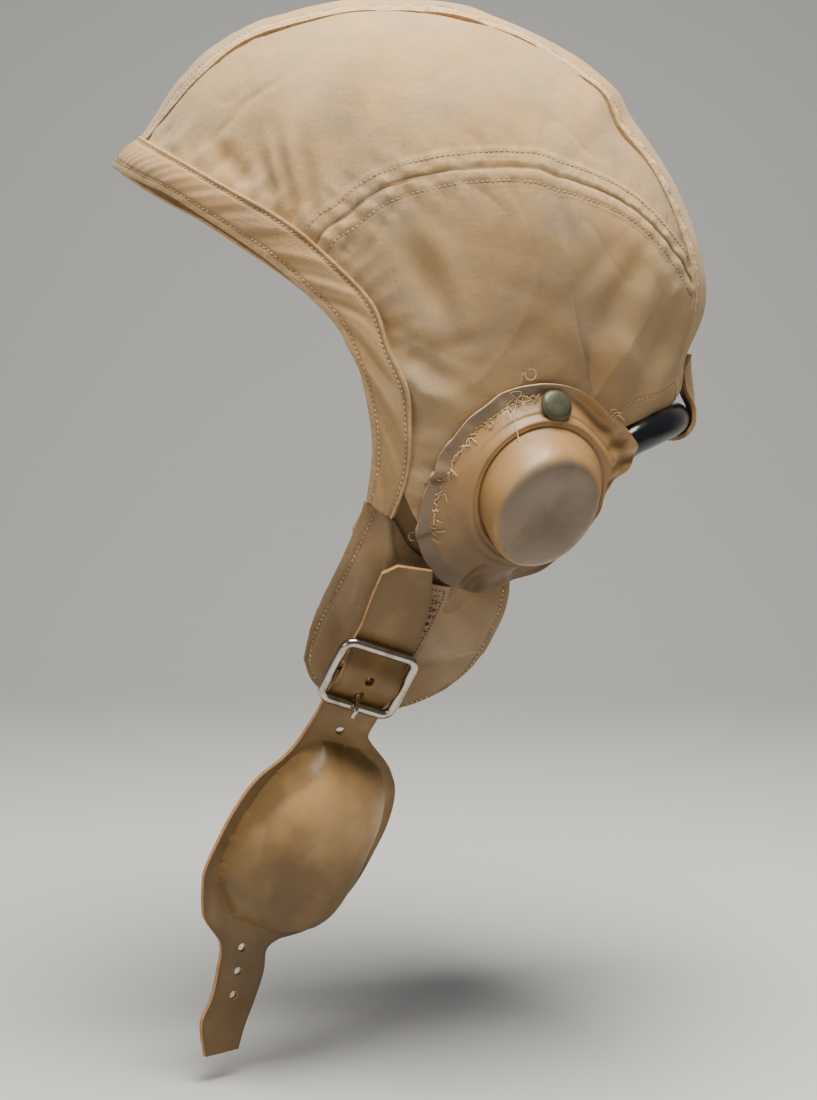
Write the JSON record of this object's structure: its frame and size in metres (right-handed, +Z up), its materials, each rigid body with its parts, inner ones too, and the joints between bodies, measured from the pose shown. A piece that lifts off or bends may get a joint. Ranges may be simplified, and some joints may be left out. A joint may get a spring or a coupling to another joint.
{
  "type": "flying helmet",
  "caption": "Cloth flying helmet with leather ear cups, a buckled leather chin strap with a chin cup, and a rubber tube round the nape.",
  "frame": {"origin": "the seat at the top of the head hollow, under the highest part of the crown on the middle line", "axes": "+Z up, the face opening toward -Y, the wearer's left toward +X"},
  "size_m": [0.193, 0.2262, 0.3959],
  "materials": {
    "twill": "matt cotton twill, faded",
    "band_twill": "matt cotton twill, folded edge",
    "cup_leather": "worn tan leather",
    "strap_leather": "worn brown leather",
    "snap_metal": "dull grey-green enamel",
    "nickel": "worn nickel plate",
    "rubber": "smooth black rubber"
  },
  "bodies": {
    "root": {"centre_strip": "twill", "crown_panel_left": "twill", "crown_panel_right": "twill", "side_panel_left": "twill", "side_panel_right": "twill", "brow_band": "band_twill", "cheek_flap_left": "twill", "cheek_flap_right": "twill", "ear_cup_left": "cup_leather", "ear_cup_right": "cup_leather", "cup_snap_left": "snap_metal", "cup_snap_right": "snap_metal", "buckle_tab_left": "strap_leather", "buckle_tab_right": "strap_leather", "buckle_left": "nickel", "buckle_right": "nickel", "buckle_prong_left": "nickel", "buckle_prong_right": "nickel", "chin_strap": "strap_leather", "nape_tube": "rubber", "nape_loop": "twill"}
  },
  "joints": []
}
